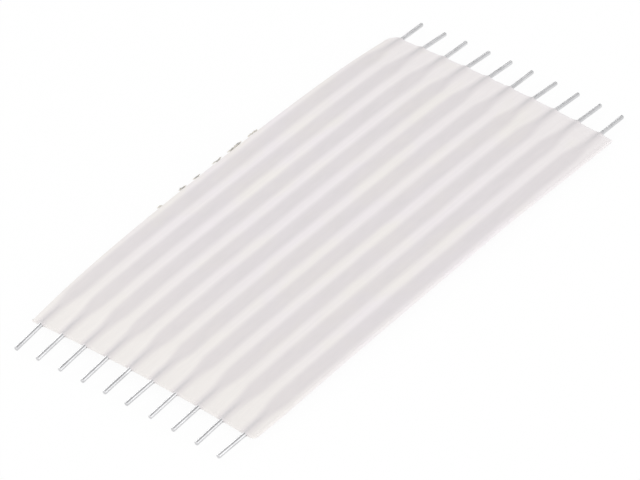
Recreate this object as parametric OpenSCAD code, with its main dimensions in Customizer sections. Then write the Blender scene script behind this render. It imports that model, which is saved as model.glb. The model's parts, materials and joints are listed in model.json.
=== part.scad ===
// Flat flexible jumper. Round tinned wires lie side by side between two thin insulating films. Each wire is
// rolled flat along the middle, so that the strip bends, and is left round at both ends as a solder pin.
// The strip lies on a table with a slight bow and touches it with its outer pins.
// Sizes are in millimetres. X runs across the strip, Y along the wires and Z up. The origin is on the table,
// under the middle of the strip. The near end is at -Y, and the first wire is at -X.

/* [Wires] */
// Number of wires side by side
wire_count = 10; // [2:1:20]
// Distance between the axes of neighbouring wires
pitch = 2.54; // [2.2:0.01:5.08]
// Diameter of a wire where it is round
wire_d = 0.41; // [0.3:0.01:0.7]
// Length of each bare pin beyond the films
pin_length = 3.5; // [1.5:0.1:10]
// Bevel round the tip of each pin
tip_bevel = 0.06; // [0.02:0.01:0.15]
// Width of a wire where it is rolled flat
flat_width = 1.55; // [0.8:0.05:1.7]
// Thickness of a wire where it is rolled flat
flat_thickness = 0.09; // [0.06:0.01:0.2]
// Length that stays round between the films, at each end
round_length = 0.5; // [0.4:0.1:3]
// Length over which the round wire widens into the flat
taper_length = 4.4; // [2:0.1:8]

/* [Films] */
// Length of the films, along the wires
film_length = 50.8; // [30:0.1:200]
// Film beyond the axis of each outermost wire
film_margin = 1.27; // [1.1:0.01:3]
// Thickness of each film with its adhesive
film_thickness = 0.1; // [0.05:0.01:0.2]
// Room between a film and a wire, and between the two films
bond_gap = 0.02; // [0.01:0.005:0.05]
// Slope at which a film comes down beside a wire, in degrees
tent_angle = 30; // [25:1:50]

/* [Bow] */
// Rise of the strip's middle above its pins, along the first wire
first_rise = 1.3; // [0:0.1:4]
// Rise of the strip's middle above its pins, along the last wire
last_rise = 0.6; // [0:0.1:4]
// Rise of the middle wires above the two outermost ones
crown = 0.4; // [0:0.05:1.5]

/* [Hidden] */
// Corners round a wire's section, a multiple of four so that one lies at each side and on top
sides = 12;
// Steps along each taper
taper_steps = 4;
// Steps along each half of the flat stretch
flat_steps = 3;
// Facets round each pin
pin_facets = 48;
// Form of a wire's section: 2 is an ellipse, and a higher power is nearer to a rectangle
round_power = 2;
flat_power = 10;
// Form of the bow: how fast it falls away from the middle towards the ends
bow_power = 4;
// The wire between the films is this much thinner than its pin, so that it starts inside the pin
core_inset = 0.01;
// Length of that start inside the pin
core_overlap = 0.3;
// A pin starts this far outside the films
pin_clearance = 0.05;

wire_r = wire_d / 2;
core_r = wire_r - core_inset;
half_film = film_length / 2;
first_x = -(wire_count - 1) / 2 * pitch;
edge_x = film_margin - first_x;
// Share of its rise that the strip has lost at the films' ends, so that the outer pins' tips reach the table
end_drop = 1 / (1 + bow_power * (pin_length - tip_bevel) / half_film);
wire_colour = [0.74, 0.74, 0.76];
film_colour = [0.93, 0.92, 0.91];

function conductor_name(i) = str("conductor_", i < 10 ? "0" : "", i);

function wire_x(i) = first_x + (i - 1) * pitch;
function limited(t) = min(1, max(0, t));
function eased(t) = t * t * (3 - 2 * t);
function mixed(a, b, t) = a + (b - a) * t;
function signed_power(v, power) = sign(v) * pow(abs(v), power);

// The bow: height of the strip's middle surface, and its slope towards the table at the films' ends
function rise(x) = mixed(first_rise, last_rise, (x - first_x) / (-2 * first_x));
function end_slope(x) = rise(x) * end_drop * bow_power / half_film;
function bow(x, y) =
    rise(x) * (1 - end_drop * pow(min(abs(y) / half_film, 1), bow_power))
    - end_slope(x) * max(abs(y) - half_film, 0);
function height(x, y) = wire_r + crown * (1 - pow(x / first_x, 2)) + bow(x, y);

// The wire's section along its length: 0 where it is round, 1 where it is flat
function flatness(y) = eased(limited((half_film - round_length - abs(y)) / taper_length));
function half_width(y) = core_r * pow(flat_width / 2 / core_r, flatness(y));
function half_height(y) = core_r * pow(flat_thickness / 2 / core_r, flatness(y));
function form(y) = 2 / mixed(round_power, flat_power, flatness(y));

// Corner k of a wire's section with room round it, counted from the +X side over the top
function corner(k, y, room) = let (angle = 360 * k / sides) [
    (half_width(y) + room) * signed_power(cos(angle), form(y)),
    (half_height(y) + room) * signed_power(sin(angle), form(y))
];

// Places along the strip: the steps of one half from its end to the middle, then the same mirrored
half_steps = concat(
    [for (s = [0:taper_steps]) half_film - round_length - taper_length * s / taper_steps],
    [for (s = [1:flat_steps - 1]) (half_film - round_length - taper_length) * (1 - s / flat_steps)]
);
function steps(end) = let (half = concat([end], half_steps), last = len(half) - 1)
    concat([for (y = half) -y], [0], [for (s = [last:-1:0]) half[s]]);

// Closed skin over a row of rings. The triangles in cap close one ring, and lean says which way each
// four-sided patch between two rings is split, so that a film and the wire under it can be split alike.
module skin(rings, cap, lean) {
    size = len(rings[0]);
    last = (len(rings) - 1) * size;
    walls = [
        for (r = [0:len(rings) - 2]) for (k = [0:size - 1])
            let (a = r * size + k, b = r * size + (k + 1) % size, c = b + size, d = a + size)
                each lean ? [[a, b, d], [b, c, d]] : [[a, b, c], [a, c, d]]
    ];
    back = [for (t = cap) [t[2] + last, t[1] + last, t[0] + last]];
    polyhedron([for (ring = rings) each ring], concat(walls, cap, back));
}

// Bare round pin along +Z, with a bevelled tip
module pin() {
    rotate_extrude($fn = pin_facets)
        polygon([
            [0, pin_clearance],
            [wire_r, pin_clearance],
            [wire_r, pin_length - tip_bevel],
            [wire_r - tip_bevel, pin_length],
            [0, pin_length]
        ]);
}

// One wire: the stretch between the films, with a pin on each end that points the way the strip ends
module conductor(i) {
    x = wire_x(i);
    rings = [for (y = steps(half_film + core_overlap)) [
        for (k = [0:sides - 1]) let (c = corner(k, y, 0)) [x + c[0], y, height(x + c[0], y) + c[1]]
    ]];
    cap = [for (k = [1:sides - 2]) [0, k + 1, k]];
    tilt = 90 + atan(end_slope(x));
    color(wire_colour) {
        skin(rings, cap, false);
        for (end = [-1, 1])
            translate([x, end * half_film, height(x, half_film)])
                rotate([-end * tilt, 0, 0])
                    pin();
    }
}

// Where a film runs over the wires at one place along the strip: [x, lift above the middle surface].
// Beside each wire it comes down to the other film.
function foot(y) = let (shoulder = corner(1, y, bond_gap)) shoulder[0] + shoulder[1] / tan(tent_angle);
function over_wire(x, y) = concat(
    [[x - foot(y), 0]],
    [for (k = [sides / 2 - 1:-1:1]) let (c = corner(k, y, bond_gap)) [x + c[0], c[1]]],
    [[x + foot(y), 0]]
);
function profile(y) = concat(
    [[-edge_x, 0]],
    [for (i = [1:wire_count]) each over_wire(wire_x(i), y)],
    [[edge_x, 0]]
);

// One film, above the wires where side is 1 and below them where it is -1
module film(side) {
    columns = len(profile(0));
    near_face = bond_gap / 2;
    far_face = near_face + film_thickness;
    low = side > 0 ? near_face : far_face;
    high = side > 0 ? far_face : near_face;
    rings = [for (y = steps(half_film)) let (row = profile(y)) concat(
        [for (p = row) [p[0], y, height(p[0], y) + side * (p[1] + low)]],
        [for (j = [columns - 1:-1:0]) let (p = row[j]) [p[0], y, height(p[0], y) + side * (p[1] + high)]]
    )];
    last = 2 * columns - 1;
    cap = [for (j = [0:columns - 2]) each [[j, last - j - 1, j + 1], [j, last - j, last - j - 1]]];
    color(film_colour) skin(rings, cap, true);
}

module upper_film() {
    film(1);
}

module lower_film() {
    film(-1);
}

upper_film();
lower_film();
for (i = [1:wire_count]) {
    conductor(i);
}
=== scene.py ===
import json
import math
import random

import bpy
import numpy as np
from mathutils import Matrix, Vector


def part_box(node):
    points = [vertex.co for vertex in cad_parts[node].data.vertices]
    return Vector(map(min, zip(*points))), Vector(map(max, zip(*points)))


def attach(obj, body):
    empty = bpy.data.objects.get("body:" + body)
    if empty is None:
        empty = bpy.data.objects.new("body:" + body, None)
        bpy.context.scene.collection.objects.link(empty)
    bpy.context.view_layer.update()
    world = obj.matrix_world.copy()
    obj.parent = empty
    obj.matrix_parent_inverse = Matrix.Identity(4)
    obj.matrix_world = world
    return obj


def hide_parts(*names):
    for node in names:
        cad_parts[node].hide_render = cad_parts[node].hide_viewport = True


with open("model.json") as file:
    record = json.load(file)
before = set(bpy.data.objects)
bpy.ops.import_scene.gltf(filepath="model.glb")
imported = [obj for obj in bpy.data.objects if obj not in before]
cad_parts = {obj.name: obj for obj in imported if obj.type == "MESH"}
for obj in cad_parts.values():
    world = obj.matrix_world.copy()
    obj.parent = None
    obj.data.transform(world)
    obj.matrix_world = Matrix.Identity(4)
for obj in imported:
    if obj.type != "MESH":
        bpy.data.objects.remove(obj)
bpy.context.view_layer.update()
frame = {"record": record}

# Lengths are in metres, in the part's own frame, unless a comment says millimetres. X runs across the strip,
# from the first wire on the left to the last on the right, and Y along the wires, from the near end on.
MM = 0.001

# Sizes that the frame gives; OUTER_X is how far the outermost wires lie from the strip's middle
pins = [m for m in frame["record"]["mounts"] if m["kind"] == "pin"]
near_pins = sorted((m for m in pins if m["name"].startswith("near")), key=lambda m: m["pos_m"][0])
wire_x = np.array([m["pos_m"][0] for m in near_pins])
PITCH = wire_x[1] - wire_x[0]
OUTER_X = -wire_x[0]
WIRE_R = near_pins[0]["dims"]["r_mm"] * MM
HALF_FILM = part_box("upper_film")[1].y
wire_low, wire_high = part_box("conductor_01")
FLAT_WIDTH = wire_high.x - wire_low.x

# Sizes of the wires and films that repeat the part's own
FLAT_THICKNESS = 0.09 * MM
ROUND_LENGTH = 0.5 * MM
TAPER_LENGTH = 4.4 * MM
PIN_LENGTH = 3.5 * MM
PIN_CLEARANCE = 0.05 * MM
CORE_INSET = 0.01 * MM
FILM_THICKNESS = 0.1 * MM
BOND_GAP = 0.02 * MM
TENT_SLOPE = math.tan(math.radians(30))
BOW_POWER = 4
ROUND_POWER = 2
FLAT_POWER = 10
CORE_R = WIRE_R - CORE_INSET
END_ZONE = ROUND_LENGTH + TAPER_LENGTH

# The strip's bow: slope and height of each wire at the films' ends, from its pin's place and direction, and
# how they run across the strip
end_slopes = np.array([-m["axis"][2] / abs(m["axis"][1]) for m in near_pins])
end_heights = np.array([m["pos_m"][2] for m in near_pins]) + end_slopes * [
    abs(m["pos_m"][1]) - HALF_FILM for m in near_pins
]
slope_fit = np.polyfit(wire_x, end_slopes, 1)
height_fit = np.polyfit(wire_x, end_heights, 2)

# How finely the pieces are meshed; columns of a film crowd towards the wires, 0 being evenly spread
COLUMNS_PER_PITCH = 32
CROWDING = 0.6
MARGIN_COLUMNS = 32
END_ROWS = 30
MIDDLE_ROW_STEP = 1.2 * MM
WIRE_SIDES = 32
TAPER_RINGS = 16
FLAT_RINGS = 9
TIP_RINGS = 5

# How the films are cut. The film beyond the first wire narrows towards both ends. That beyond the last wire
# widens towards the far end and narrows at the near one. Both are half a pitch wide before they are cut.
UNCUT_MARGIN = PITCH / 2
LEFT_MARGIN = 1.57 * MM
LEFT_LOSS = 0.48 * MM
LEFT_LOSS_POWER = 1.8
RIGHT_MARGIN = 1.18 * MM
RIGHT_FLARE = 0.22 * MM
RIGHT_FLARE_START = 8 * MM
RIGHT_FLARE_LENGTH = 13 * MM
RIGHT_LOSS = 0.15 * MM
RIGHT_LOSS_LENGTH = 4.5 * MM
# How much further each end reaches than the solids do
END_REACH = 0.09 * MM
# Rounding of the corners across and along the strip, the near corner first
LEFT_CORNERS = ((0.15 * MM, 0.15 * MM), (0.9 * MM, 1.3 * MM))
RIGHT_CORNERS = ((0.5 * MM, 0.5 * MM), (0.2 * MM, 0.2 * MM))
# The blade pressed the edges: the upper film is bevelled all round and comes down over the long edges, the
# lower one is bevelled at the ends, and this share of their thickness is left at an edge
UPPER_BEVEL = 0.15 * MM
LOWER_BEVEL = 0.25 * MM
EDGE_SHARE = 0.02
# The outer face of a film is softer than the wire under it: its slopes start this much nearer to the wire's
# axis, and end this much further out
OUTER_SPREAD = 0.4 * MM
# The bonded faces: room round a wire, and half the seam where the two films meet
WIRE_ROOM = 0.012 * MM
HALF_SEAM = 0.001 * MM

# Pins: how far the wires lie towards the far end, which makes the far pins longer and the near ones shorter,
# the rounding of the tips, and the step from a ring to its neighbour where the pin's form changes
WIRE_SHIFT = 0.06 * MM
TIP_RADIUS = 0.08 * MM
EDGE_LOOP = 0.03 * MM
# How far each tip was bent sideways in millimetres, from the first wire to the last
NEAR_BENDS = [0.03, -0.03, -0.03, -0.01, -0.05, -0.15, -0.03, -0.06, -0.02, -0.16]
FAR_BENDS = [-0.28, -0.06, -0.16, -0.01, -0.02, -0.13, 0.05, 0.05, 0.02, -0.07]

# Dark flecks along the first long edge: place along it and length in millimetres, and darkness
DARK_FLECKS = [
    (-7.6, 0.7, 0.3), (-4.4, 1.0, 0.75), (-2.4, 0.9, 0.8), (0.5, 1.4, 0.7),
    (2.6, 1.2, 0.7), (3.1, 0.9, 0.5), (3.5, 0.9, 0.8), (5.3, 1.0, 0.4), (5.9, 0.6, 0.5),
]
FLECK_WIDTH = 0.28 * MM
FLECK_HEIGHT = 0.16 * MM
FLECK_RINGS = 9
FLECK_SIDES = 4
FLECK_SEED = 11
# A fleck swells along its length as a half wave that lacks this share at both ends, to a power that makes it
# blunt. The ranges are those of its random swelling and of its random shifts outwards and upwards, as shares
# of its size.
FLECK_END = 0.08
FLECK_BLUNTNESS = 0.7
FLECK_SWELLING = (0.55, 1.0)
FLECK_OUTWARDS = (-0.15, 0.25)
FLECK_UPWARDS = (0.0, 0.6)

# Shade of a wire through the film: width over which its edge fades, how far that edge lies inside the wire's,
# its least half width, over the round wire, and the power that joins this to the wire's own half width
BAND_BLUR = 0.65 * MM
BAND_INSET = 0.03 * MM
BAND_LEAST = 0.48 * MM
BAND_JOIN = 4
# Half width of the darker line over the round wire, and how fast it fades as the wire flattens
LINE_HALF = 0.3 * MM
LINE_FADE = 1.5
# Share of the film's shade that the flat wires take; the rest is kept for that line
BAND_SHADE = 0.7
# Width of the painted light along a long edge and along the far end: a paler film colour that lifts the shade
# of these edges
EDGE_LIGHT_WIDTH = 0.05 * MM
FAR_LIGHT_WIDTH = 0.65 * MM
# Width and strength of the stain on the film beside a fleck
STAIN_WIDTH = 0.9 * MM
STAIN_SHARE = 0.6
# Where the film grows warmer towards its ends, over which length, and the far end's share of it
CREAM_START = 6 * MM
CREAM_LENGTH = 18 * MM
FAR_CREAM = 0.4

# Film colours as 8-bit screen values, the cooler tint first
GAP_TINTS = ((236, 231, 233), (237, 233, 230))
WIRE_TINTS = ((221, 216, 218), (222, 217, 217))
LINE_TINT = (209, 206, 207)
STAIN_TINT = (238, 233, 222)
# The edge tint is painted light: a paler film colour on the shaded edges
PAINTED_EDGE_TINT = (240, 236, 237)
# Wire colours, bright and stained, and fleck colours, all in linear light
WIRE_COLOURS = ((0.72, 0.72, 0.73, 1), (0.6, 0.6, 0.61, 1))
FLECK_COLOURS = ((0.18, 0.18, 0.17, 1), (0.36, 0.35, 0.33, 1))
# Gloss of the film, the wires and the flecks
FILM_ROUGHNESS = (0.52, 0.62)
FILM_IOR = 1.5
FILM_SPECULAR = 0.35
WIRE_ROUGHNESS = (0.3, 0.42)
FLECK_ROUGHNESS = 0.8

# Noise in the materials: its scale along the wires as a share of that across them, its scale per metre and
# its detail, the range of it that shows, and how strongly
PATCH_NOISE = (0.45, 330, 2)
PATCH_RANGE = (0.45, 0.67)
MOTTLE_NOISE = (0.3, 1500, 3)
MOTTLE_RANGE = (0.3, 0.7)
MOTTLE_SHADE = 0.05
GRAIN_NOISE = (1, 7000, 2)
DRAWN_NOISE = (0.02, 6000, 2)
DRAWN_RANGE = (0.35, 0.75)
DRAWN_SHARE = 0.1
WIRE_LINE_NOISE = (0.03, 9000, 3)
WIRE_LINE_RANGE = (0.3, 0.7)
WIRE_STAIN_NOISE = (0.4, 1800, 3)
WIRE_STAIN_RANGE = (0.35, 0.7)
FLECK_NOISE = (1, 9000, 3)
FLECK_RANGE = (0.35, 0.65)
# Bump of the film and the wires: strength and height
FILM_BUMP = (0.12, 0.02 * MM)
WIRE_BUMP = (0.15, 0.01 * MM)

# The photograph's view: where the camera stands and how far the strip's middle lies from the picture's middle
VIEW_AZIMUTH = math.radians(39.640)
VIEW_ELEVATION = math.radians(39.808)
VIEW_ROLL = math.radians(1.584)
VIEW_DISTANCE = 424.83 * MM
VIEW_RIGHT = 0.6210 * MM
VIEW_DOWN = -0.7060 * MM
FOCAL_PIXELS = 4786.5
PICTURE_WIDTH = 640
SENSOR_WIDTH = 36.0
CLIP_START = 10 * MM

# The studio's soft lamps round the strip, each with its place and size in millimetres and its power
LAMPS = {
    "right_lamp": ((215, 57, 100), (210, 150), 0.09),
    "left_lamp": ((-1720, 160, 720), (3040, 1200), 23.2),
    "back_lamp": ((-60, 430, 280), (300, 150), 0.16),
    "front_lamp": ((60, -400, 330), (500, 400), 0.55),
}
# The studio's grey surroundings: the direction where they are brightest, their level square to it, how fast
# that rises towards it, and the lowest and highest level
STUDIO_BRIGHTEST = (0.85, -0.45, 0.28)
STUDIO_MIDDLE = 0.52
STUDIO_GAIN = 0.9
STUDIO_DARK = 0.3
STUDIO_BRIGHT = 0.95
# The studio's white floor, and the share of the strip's shadow that shows on it
FLOOR_SIZE = 4.0
FLOOR_COLOUR = (0.95, 0.95, 0.95, 1)
SHADOW_SHARE = 0.05

# Sockets of a Mix node that takes colours: its two colours and its result
MIX_FIRST = 6
MIX_SECOND = 7
MIX_RESULT = 2


def srgb(red, green, blue):
    """A colour from its 8-bit screen values, as linear light by the sRGB formula."""
    def linear(v):
        v = v / 255
        return v / 12.92 if v <= 0.04045 else ((v + 0.055) / 1.055) ** 2.4
    return (linear(red), linear(green), linear(blue), 1.0)


def eased(t):
    """Smooth step from 0 to 1."""
    t = np.clip(t, 0, 1)
    return t * t * (3 - 2 * t)


# The strip's shape

def strip_height(x, y):
    """Height of the strip's middle surface: bowed between the films' ends, and straight along the pins."""
    slope = np.polyval(slope_fit, x)
    fall = slope * HALF_FILM / BOW_POWER
    along = np.minimum(np.abs(y) / HALF_FILM, 1)
    beyond = np.maximum(np.abs(y) - HALF_FILM, 0)
    return np.polyval(height_fit, x) + fall * (1 - along ** BOW_POWER) - slope * beyond


def flatness(y):
    """0 where a wire is round, 1 where it is rolled flat."""
    return eased((HALF_FILM - ROUND_LENGTH - np.abs(y)) / TAPER_LENGTH)


def half_width(y):
    """Half the width of a wire between the films."""
    return CORE_R * (FLAT_WIDTH / 2 / CORE_R) ** flatness(y)


def half_height(y):
    """Half the thickness of a wire between the films."""
    return CORE_R * (FLAT_THICKNESS / 2 / CORE_R) ** flatness(y)


def section_power(y):
    """Form of a wire's section: 2 is an ellipse, and more is closer to a rectangle."""
    return ROUND_POWER + (FLAT_POWER - ROUND_POWER) * flatness(y)


def from_wire(x):
    """Distance across the strip to the nearest wire's axis."""
    return np.min(np.abs(x[..., None] - wire_x), axis=-1)


def bonded_face(x, y):
    """How far a film's face on the wires lies from the middle surface: it follows each wire's section."""
    across = np.minimum(from_wire(x) / (half_width(y) + WIRE_ROOM), 1)
    power = section_power(y)
    return np.maximum((half_height(y) + WIRE_ROOM) * (1 - across ** power) ** (1 / power), HALF_SEAM)


def outer_face(x, y):
    """How far a film's outer face lies from the middle surface as it goes softly over the wires."""
    crest = half_height(y) + BOND_GAP
    shoulder = half_width(y) * np.sqrt(flatness(y)) - OUTER_SPREAD
    foot = half_width(y) + crest / TENT_SLOPE + OUTER_SPREAD
    lift = crest * (1 - eased((from_wire(x) - shoulder) / (foot - shoulder)))
    return BOND_GAP / 2 + FILM_THICKNESS + lift


def pressed(thickness, from_edge, bevel):
    """Thickness that the blade left of a film near an edge with a bevel this wide."""
    return thickness * (EDGE_SHARE + (1 - EDGE_SHARE) * np.minimum(from_edge / bevel, 1))


def cut_margin(side, y):
    """Film beyond the outermost wire as it was cut, on the left where side is negative, else on the right."""
    left = LEFT_MARGIN - LEFT_LOSS * np.abs(y / HALF_FILM) ** LEFT_LOSS_POWER
    flare = RIGHT_FLARE * eased((y - RIGHT_FLARE_START) / RIGHT_FLARE_LENGTH)
    loss = RIGHT_LOSS * eased(1 - (y + HALF_FILM) / RIGHT_LOSS_LENGTH)
    return np.where(side < 0, left, RIGHT_MARGIN + flare - loss)


# Values that the film's colour follows

def wire_shade(x, y):
    """How dark the wires make the film: 0 between them, and most over the round wire at the ends."""
    joined = (half_width(y) ** BAND_JOIN + BAND_LEAST ** BAND_JOIN) ** (1 / BAND_JOIN)
    band = 1 - eased((from_wire(x) - joined + BAND_INSET) / BAND_BLUR + 0.5)
    line = (1 - eased(from_wire(x) / LINE_HALF)) * (1 - flatness(y)) ** LINE_FADE
    return BAND_SHADE * band + (1 - BAND_SHADE) * line


def painted_edge_light(x, y, from_side, from_end):
    """How much painted light makes the film paler along its long edges, and along its far end between the
    wires, to lift the shade of these edges.
    """
    side = 1 - eased(from_side / EDGE_LIGHT_WIDTH)
    far = np.where(y > 0, 1 - eased(from_end / FAR_LIGHT_WIDTH), 0) * (1 - wire_shade(x, y))
    return np.maximum(side, far)


def burr_stain(x, y):
    """How far the film is stained beside the flecks, most at a fleck's middle, on the edge."""
    from_left = np.maximum(x + OUTER_X + cut_margin(-1, y), 0)
    stain = 0
    for place, length, dark in DARK_FLECKS:
        stain = np.maximum(stain, dark * (1 - eased(np.abs(y - place * MM) / (length * MM))))
    return STAIN_SHARE * stain * (1 - eased(from_left / STAIN_WIDTH))


def creaminess(y):
    """How much warmer the film is towards its ends: 1 at the near end."""
    near = eased((-y - CREAM_START) / CREAM_LENGTH)
    far = FAR_CREAM * eased((y - CREAM_START) / CREAM_LENGTH)
    return near + far


# Meshes

def placed(name, data):
    """An object with this data, in the scene."""
    item = bpy.data.objects.new(name, data)
    bpy.context.scene.collection.objects.link(item)
    return item


def add_piece(name, points, faces, flat_faces, material):
    """One piece of the object from its points and its smooth and flat faces."""
    mesh = bpy.data.meshes.new(name)
    mesh.from_pydata(points, [], faces + flat_faces)
    mesh.polygons.foreach_set("use_smooth", [True] * len(faces) + [False] * len(flat_faces))
    mesh.materials.append(material)
    piece = placed(name, mesh)
    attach(piece, "root")
    return piece


def set_values(piece, name, values):
    """Stores one number for each point of a piece, for its material to read."""
    attribute = piece.data.attributes.new(name, "FLOAT", "POINT")
    attribute.data.foreach_set("value", np.asarray(values, np.float32).ravel())


def film_columns():
    """Places across the uncut strip: close together at the wires and along both sides of a margin."""
    turns = np.arange((len(wire_x) - 1) * COLUMNS_PER_PITCH + 1) / COLUMNS_PER_PITCH
    between = PITCH * (turns - CROWDING * np.sin(2 * math.pi * turns) / (2 * math.pi)) - OUTER_X
    margin = UNCUT_MARGIN * (1 - np.cos(np.linspace(0, math.pi, MARGIN_COLUMNS + 1)[1:])) / 2
    return np.concatenate([-OUTER_X - margin[::-1], between, OUTER_X + margin])


def film_rows():
    """Places along the strip: close together at both ends."""
    end_rows = END_ZONE * (1 - np.cos(np.linspace(0, math.pi / 2, END_ROWS + 1)))
    middle = HALF_FILM - END_ZONE
    middle_rows = np.linspace(-middle, middle, round(2 * middle / MIDDLE_ROW_STEP) + 1)
    return np.concatenate([end_rows - HALF_FILM, middle_rows[1:-1], HALF_FILM - end_rows[::-1]])


def corner_rounding(x, y, way):
    """Rounding of the nearest corner, across the strip where way is 0 and along it where way is 1."""
    left = np.where(y < 0, LEFT_CORNERS[0][way], LEFT_CORNERS[1][way])
    right = np.where(y < 0, RIGHT_CORNERS[0][way], RIGHT_CORNERS[1][way])
    return np.where(x < 0, left, right)


def film_grid():
    """Places on the cut strip, row by row, and how far each lies from the nearest long edge and end."""
    x, y = np.meshgrid(film_columns(), film_rows())
    margin_share = np.clip((np.abs(x) - OUTER_X) / UNCUT_MARGIN, 0, 1)
    from_side = (1 - margin_share) * cut_margin(x, y)
    from_end = HALF_FILM - np.abs(y)
    into_corner = np.maximum(1 - from_side / corner_rounding(x, y, 0), 0)
    lost = corner_rounding(x, y, 1) * (1 - np.sqrt(1 - into_corner ** 2))
    y = y * (1 + (END_REACH - lost) / HALF_FILM)
    x = np.where(margin_share > 0, np.sign(x) * (OUTER_X + margin_share * cut_margin(x, y)), x)
    return x, y, from_side, from_end


def film_faces(side, x, y, from_side, from_end):
    """Heights of a film's lower and upper face. Side is 1 above the wires and -1 under them."""
    middle = strip_height(x, y)
    bonded = bonded_face(x, y) * np.minimum(from_side / UPPER_BEVEL, 1)
    thickness = outer_face(x, y) - bonded
    bevelled = pressed(thickness, from_end, LOWER_BEVEL)
    # The seam between the films comes down over the long edges
    seam = middle - (bevelled - pressed(bevelled, from_side, UPPER_BEVEL))
    if side > 0:
        low = seam + bonded
        high = low + pressed(thickness, np.minimum(from_side, from_end), UPPER_BEVEL)
    else:
        low = middle - bonded - bevelled
        high = seam - bonded
    return low, high


def add_film(name, side, material):
    """One film: a closed sheet between its face on the wires and its outer face."""
    x, y, from_side, from_end = film_grid()
    faces_z = film_faces(side, x, y, from_side, from_end)
    rows, columns = x.shape
    size = rows * columns
    index = np.arange(size).reshape(rows, columns)
    points = np.concatenate([np.stack([x, y, z], -1).reshape(-1, 3) for z in faces_z])
    quads = np.stack([index[:-1, :-1], index[:-1, 1:], index[1:, 1:], index[1:, :-1]], -1).reshape(-1, 4)
    border = np.concatenate([index[0, :-1], index[:-1, -1], index[-1, :0:-1], index[:0:-1, 0]])
    ahead = np.roll(border, -1)
    rim = np.stack([border, ahead, ahead + size, border + size], -1)
    faces = np.concatenate([quads[:, ::-1], quads + size])
    piece = add_piece(name + "_sheet", points.tolist(), faces.tolist(), rim.tolist(), material)
    values = {
        "wire_shade": wire_shade(x, y),
        # Painted light: paler film along the edges, to lift their shade
        "edge_pale": painted_edge_light(x, y, from_side, from_end),
        "burr_stain": burr_stain(x, y),
        "creaminess": creaminess(y),
    }
    for key, face_values in values.items():
        set_values(piece, key, np.concatenate([face_values] * 2))
    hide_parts(name)


def ring(centre, width, height, power, lean):
    """Points round a wire's section. Lean is the slope along the wire of the section's upright side."""
    angles = np.linspace(0, 2 * math.pi, WIRE_SIDES, endpoint=False)
    form = 2 / power
    across = width * np.sign(np.cos(angles)) * np.abs(np.cos(angles)) ** form
    up = height * np.sign(np.sin(angles)) * np.abs(np.sin(angles)) ** form
    upright = Vector((0, lean, 1)).normalized()
    return np.stack([centre[0] + across, centre[1] + up * upright.y, centre[2] + up * upright.z], -1)


def pin_rings(x, end, bend):
    """Rings of one pin from the film to its tip. End is -1 at the near end and 1 at the far one."""
    slope = np.polyval(slope_fit, x)
    stretch = math.hypot(1, slope)
    end_height = strip_height(x, HALF_FILM)
    length = PIN_LENGTH + end * WIRE_SHIFT
    tip_turns = np.linspace(0, math.pi / 2, TIP_RINGS)
    steps = [PIN_CLEARANCE, PIN_CLEARANCE + EDGE_LOOP, length - TIP_RADIUS - EDGE_LOOP]
    radii = [WIRE_R] * len(steps)
    steps += [length - TIP_RADIUS * (1 - math.sin(turn)) for turn in tip_turns]
    radii += [WIRE_R - TIP_RADIUS * (1 - math.cos(turn)) for turn in tip_turns]
    rings = []
    for step, radius in zip(steps, radii):
        reach = step / stretch
        centre = (x + bend * step / length, end * (HALF_FILM + reach), end_height - slope * reach)
        rings.append(ring(centre, radius, radius, ROUND_POWER, end * slope))
    return rings


def core_rings(x):
    """Rings of one wire between the films, from the near end to the far one."""
    taper = np.linspace(0, END_ZONE, TAPER_RINGS)
    flat = np.linspace(END_ZONE, HALF_FILM, FLAT_RINGS)
    half = HALF_FILM - np.concatenate([taper, flat[1:]])
    rings = []
    for y in np.concatenate([-half, half[-2::-1]]):
        section = ring((x, y, 0), half_width(y), half_height(y), section_power(y), 0)
        section[:, 2] += strip_height(section[:, 0], y)
        rings.append(section)
    return rings


def add_wire(number, x, material):
    """One wire: round pins at both ends, rolled flat between the films."""
    near_pin = pin_rings(x, -1, NEAR_BENDS[number - 1] * MM)
    far_pin = pin_rings(x, 1, FAR_BENDS[number - 1] * MM)
    rings = near_pin[::-1] + core_rings(x) + far_pin
    points = np.concatenate(rings)
    last = len(points) - WIRE_SIDES
    around = np.arange(WIRE_SIDES)
    ahead = (around + 1) % WIRE_SIDES
    faces = []
    for base in range(0, last, WIRE_SIDES):
        quads = [base + around, base + WIRE_SIDES + around, base + WIRE_SIDES + ahead, base + ahead]
        faces += np.stack(quads, -1).tolist()
    caps = [around.tolist(), (last + around[::-1]).tolist()]
    name = f"conductor_{number:02d}"
    piece = add_piece(name + "_drawn", points.tolist(), faces, caps, material)
    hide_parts(name)


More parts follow.
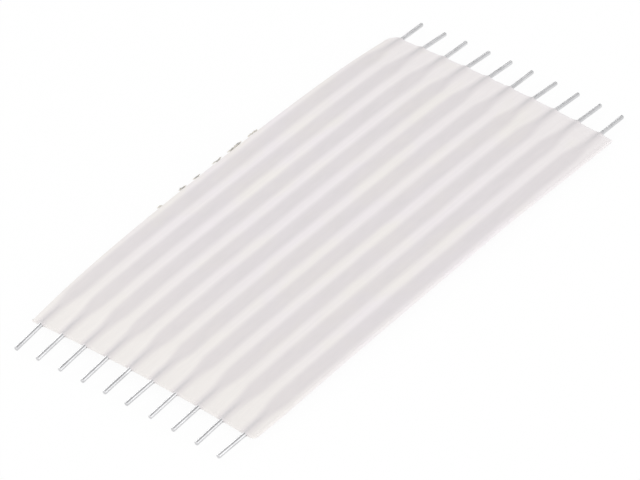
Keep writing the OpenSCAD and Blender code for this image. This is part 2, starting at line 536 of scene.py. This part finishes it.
def add_flecks(material):
    """Dark slivers along the first long edge of the films."""
    draw = random.Random(FLECK_SEED)
    points, faces, darkness = [], [], []
    for place, length, dark in DARK_FLECKS:
        start = len(points)
        for r in range(FLECK_RINGS):
            t = r / (FLECK_RINGS - 1)
            y = (place + length * (t - 0.5)) * MM
            x = -OUTER_X - float(cut_margin(-1, y)) - FLECK_WIDTH * draw.uniform(*FLECK_OUTWARDS)
            swell = math.sin(math.pi * (FLECK_END + (1 - 2 * FLECK_END) * t)) ** FLECK_BLUNTNESS
            swell *= draw.uniform(*FLECK_SWELLING)
            wide = FLECK_WIDTH / 2 * swell
            tall = FLECK_HEIGHT / 2 * swell
            z = float(strip_height(x, y)) + FLECK_HEIGHT * draw.uniform(*FLECK_UPWARDS)
            points += [(x + wide, y, z), (x, y, z + tall), (x - wide, y, z), (x, y, z - tall)]
            darkness += [dark * math.sin(math.pi * t)] * FLECK_SIDES
        end = start + FLECK_SIDES * (FLECK_RINGS - 1)
        for base in range(start, end, FLECK_SIDES):
            for side in range(FLECK_SIDES):
                this = base + side
                following = base + (side + 1) % FLECK_SIDES
                faces.append((following, this, this + FLECK_SIDES, following + FLECK_SIDES))
        faces.append(tuple(range(start, start + FLECK_SIDES)))
        faces.append(tuple(reversed(range(end, end + FLECK_SIDES))))
    piece = add_piece("edge_burrs", points, faces, [], material)
    set_values(piece, "darkness", darkness)


# Materials

class Nodes:
    """Short calls for building the nodes of one material or world."""

    def __init__(self, owner):
        owner.use_nodes = True
        self.tree = owner.node_tree
        self.tree.nodes.clear()

    def add(self, kind, sockets=None, **settings):
        """One node, with the values or links of its sockets and its settings."""
        node = self.tree.nodes.new(kind)
        for key, value in settings.items():
            setattr(node, key, value)
        for key, value in (sockets or {}).items():
            self.put(node.inputs[key], value)
        return node

    def put(self, socket, value):
        """Sets a socket, or links it to another node's output."""
        if isinstance(value, bpy.types.NodeSocket):
            self.tree.links.new(value, socket)
        else:
            socket.default_value = value

    def stored(self, name):
        """The number that the piece stores for each of its points under this name."""
        return self.add("ShaderNodeAttribute", attribute_name=name).outputs["Fac"]

    def noise(self, stretch, scale, detail):
        """Noise that is fixed to the part and stretched along the wires."""
        point = self.add("ShaderNodeTexCoord").outputs["Object"]
        mapping = self.add("ShaderNodeMapping", {"Vector": point, "Scale": (1, stretch, 1)})
        sockets = {"Vector": mapping.outputs["Vector"], "Scale": scale, "Detail": detail}
        return self.add("ShaderNodeTexNoise", sockets).outputs["Fac"]

    def ranged(self, value, start, end, low=0.0, high=1.0):
        """Carries a value from one range over to another, and holds it there."""
        sockets = {"Value": value, "From Min": start, "From Max": end, "To Min": low, "To Max": high}
        return self.add("ShaderNodeMapRange", sockets, clamp=True).outputs["Result"]

    def math(self, operation, first, second):
        """The result of a sum or comparison of two values."""
        return self.add("ShaderNodeMath", {0: first, 1: second}, operation=operation).outputs["Value"]

    def mixed(self, factor, first, second):
        """A colour between two colours."""
        sockets = {"Factor": factor, MIX_FIRST: first, MIX_SECOND: second}
        return self.add("ShaderNodeMix", sockets, data_type="RGBA").outputs[MIX_RESULT]

    def mixed_shader(self, factor, first, second):
        """A shader between two shaders."""
        return self.add("ShaderNodeMixShader", {0: factor, 1: first, 2: second}).outputs["Shader"]

    def bump(self, height, strength, distance):
        """The surface's direction on a relief of this height."""
        sockets = {"Strength": strength, "Distance": distance, "Height": height}
        return self.add("ShaderNodeBump", sockets).outputs["Normal"]

    def surface(self, sockets):
        """Ends a material with a surface that has these values or links."""
        self.finish(self.add("ShaderNodeBsdfPrincipled", sockets).outputs["BSDF"])

    def finish(self, shader, kind="ShaderNodeOutputMaterial"):
        """Ends a material or world with this shader."""
        self.add(kind, {"Surface": shader})


def film_material():
    """Satin white laminate in cream and lilac tints, with the wires showing through in grey."""
    material = bpy.data.materials.new("satin_film")
    nodes = Nodes(material)
    patches = nodes.ranged(nodes.noise(*PATCH_NOISE), *PATCH_RANGE)
    patches = nodes.math("MAXIMUM", patches, nodes.stored("creaminess"))
    mottle = nodes.noise(*MOTTLE_NOISE)
    grain = nodes.noise(*GRAIN_NOISE)
    drawn = nodes.noise(*DRAWN_NOISE)
    gap_tint = nodes.mixed(patches, *[srgb(*tint) for tint in GAP_TINTS])
    wire_tint = nodes.mixed(patches, *[srgb(*tint) for tint in WIRE_TINTS])
    unevenness = nodes.ranged(mottle, *MOTTLE_RANGE, -MOTTLE_SHADE, MOTTLE_SHADE)
    shade = nodes.math("ADD", nodes.stored("wire_shade"), unevenness)
    colour = nodes.mixed(nodes.ranged(shade, 0, BAND_SHADE), gap_tint, wire_tint)
    colour = nodes.mixed(nodes.ranged(shade, BAND_SHADE, 1), colour, srgb(*LINE_TINT))
    colour = nodes.mixed(nodes.ranged(drawn, *DRAWN_RANGE, 0, DRAWN_SHARE), colour, srgb(*LINE_TINT))
    # Painted light: the film is paler along its edges, to lift their shade
    colour = nodes.mixed(nodes.stored("edge_pale"), colour, srgb(*PAINTED_EDGE_TINT))
    colour = nodes.mixed(nodes.stored("burr_stain"), colour, srgb(*STAIN_TINT))
    nodes.surface({
        "Base Color": colour,
        "Roughness": nodes.ranged(mottle, *MOTTLE_RANGE, *FILM_ROUGHNESS),
        "IOR": FILM_IOR,
        "Specular IOR Level": FILM_SPECULAR,
        "Normal": nodes.bump(nodes.math("ADD", grain, drawn), *FILM_BUMP),
    })
    return material


def wire_material():
    """Tinned copper with fine drawing lines along the wire."""
    material = bpy.data.materials.new("tinned_wire")
    nodes = Nodes(material)
    lines = nodes.noise(*WIRE_LINE_NOISE)
    stains = nodes.ranged(nodes.noise(*WIRE_STAIN_NOISE), *WIRE_STAIN_RANGE)
    nodes.surface({
        "Base Color": nodes.mixed(stains, *WIRE_COLOURS),
        "Metallic": 1.0,
        "Roughness": nodes.ranged(lines, *WIRE_LINE_RANGE, *WIRE_ROUGHNESS),
        "Normal": nodes.bump(lines, *WIRE_BUMP),
    })
    return material


def fleck_material():
    """Dull grey-brown of the dark flecks along the film's edge."""
    material = bpy.data.materials.new("torn_edge")
    nodes = Nodes(material)
    spots = nodes.ranged(nodes.noise(*FLECK_NOISE), *FLECK_RANGE)
    colour = nodes.mixed(nodes.stored("darkness"), srgb(*STAIN_TINT), nodes.mixed(spots, *FLECK_COLOURS))
    nodes.surface({"Base Color": colour, "Roughness": FLECK_ROUGHNESS})
    return material


def floor_material():
    """White floor: it shows as white, and keeps a faint share of the object's shadow."""
    material = bpy.data.materials.new("white_floor")
    nodes = Nodes(material)
    path = nodes.add("ShaderNodeLightPath").outputs
    seen = nodes.math("MAXIMUM", path["Is Camera Ray"], path["Is Glossy Ray"])
    seen = nodes.math("MAXIMUM", seen, path["Is Transmission Ray"])
    lit = nodes.add("ShaderNodeBsdfDiffuse", {"Color": FLOOR_COLOUR}).outputs["BSDF"]
    white = nodes.add("ShaderNodeEmission", {"Strength": 1.0}).outputs["Emission"]
    nodes.finish(nodes.mixed_shader(seen, lit, nodes.mixed_shader(SHADOW_SHARE, white, lit)))
    return material


# Stage

def add_floor():
    """A white floor that the strip lies on."""
    half = FLOOR_SIZE / 2
    corners = [(-half, -half, 0), (half, -half, 0), (half, half, 0), (-half, half, 0)]
    mesh = bpy.data.meshes.new("floor")
    mesh.from_pydata(corners, [], [(0, 1, 2, 3)])
    mesh.materials.append(floor_material())
    floor = placed("floor", mesh)


def add_softbox(name, place, size, power):
    """A soft rectangular lamp that faces the strip."""
    lamp = bpy.data.lights.new(name, "AREA")
    lamp.shape = "RECTANGLE"
    lamp.size, lamp.size_y = Vector(size) * MM
    lamp.energy = power
    softbox = placed(name, lamp)
    softbox.location = Vector(place) * MM
    softbox.rotation_euler = Vector(place).to_track_quat("Z", "Y").to_euler()


def add_world():
    """A grey studio that brightens towards one direction."""
    world = bpy.data.worlds.new("studio")
    bpy.context.scene.world = world
    nodes = Nodes(world)
    direction = nodes.add("ShaderNodeTexCoord").outputs["Generated"]
    brightest = Vector(STUDIO_BRIGHTEST).normalized()
    towards = nodes.add("ShaderNodeVectorMath", {0: direction, 1: brightest}, operation="DOT_PRODUCT")
    dark_end = (STUDIO_DARK - STUDIO_MIDDLE) / STUDIO_GAIN
    bright_end = (STUDIO_BRIGHT - STUDIO_MIDDLE) / STUDIO_GAIN
    level = nodes.ranged(towards.outputs["Value"], dark_end, bright_end, STUDIO_DARK, STUDIO_BRIGHT)
    studio = nodes.add("ShaderNodeBackground", {"Color": level}).outputs["Background"]
    nodes.finish(studio, "ShaderNodeOutputWorld")


def add_camera():
    """The photograph's view."""
    back = Vector((
        math.sin(VIEW_AZIMUTH) * math.cos(VIEW_ELEVATION),
        -math.cos(VIEW_AZIMUTH) * math.cos(VIEW_ELEVATION),
        math.sin(VIEW_ELEVATION),
    ))
    level_right = (-back).cross(Vector((0, 0, 1))).normalized()
    level_down = (-back).cross(level_right)
    right = level_right * math.cos(VIEW_ROLL) + level_down * math.sin(VIEW_ROLL)
    down = level_down * math.cos(VIEW_ROLL) - level_right * math.sin(VIEW_ROLL)
    lens = bpy.data.cameras.new("camera")
    lens.sensor_width = SENSOR_WIDTH
    lens.lens = FOCAL_PIXELS / PICTURE_WIDTH * SENSOR_WIDTH
    lens.clip_start = CLIP_START
    camera = placed("camera", lens)
    turn = Matrix((right, -down, back)).transposed().to_4x4()
    place = back * VIEW_DISTANCE - right * VIEW_RIGHT - down * VIEW_DOWN
    camera.matrix_world = Matrix.Translation(place) @ turn
    bpy.context.scene.camera = camera


add_camera()
add_world()
for name, (place, size, power) in LAMPS.items():
    add_softbox(name, place, size, power)
add_floor()
satin_film = film_material()
add_film("upper_film", 1, satin_film)
add_film("lower_film", -1, satin_film)
tinned = wire_material()
for number, x in enumerate(wire_x, start=1):
    add_wire(number, x, tinned)
add_flecks(fleck_material())
bpy.context.scene.view_settings.view_transform = "Standard"
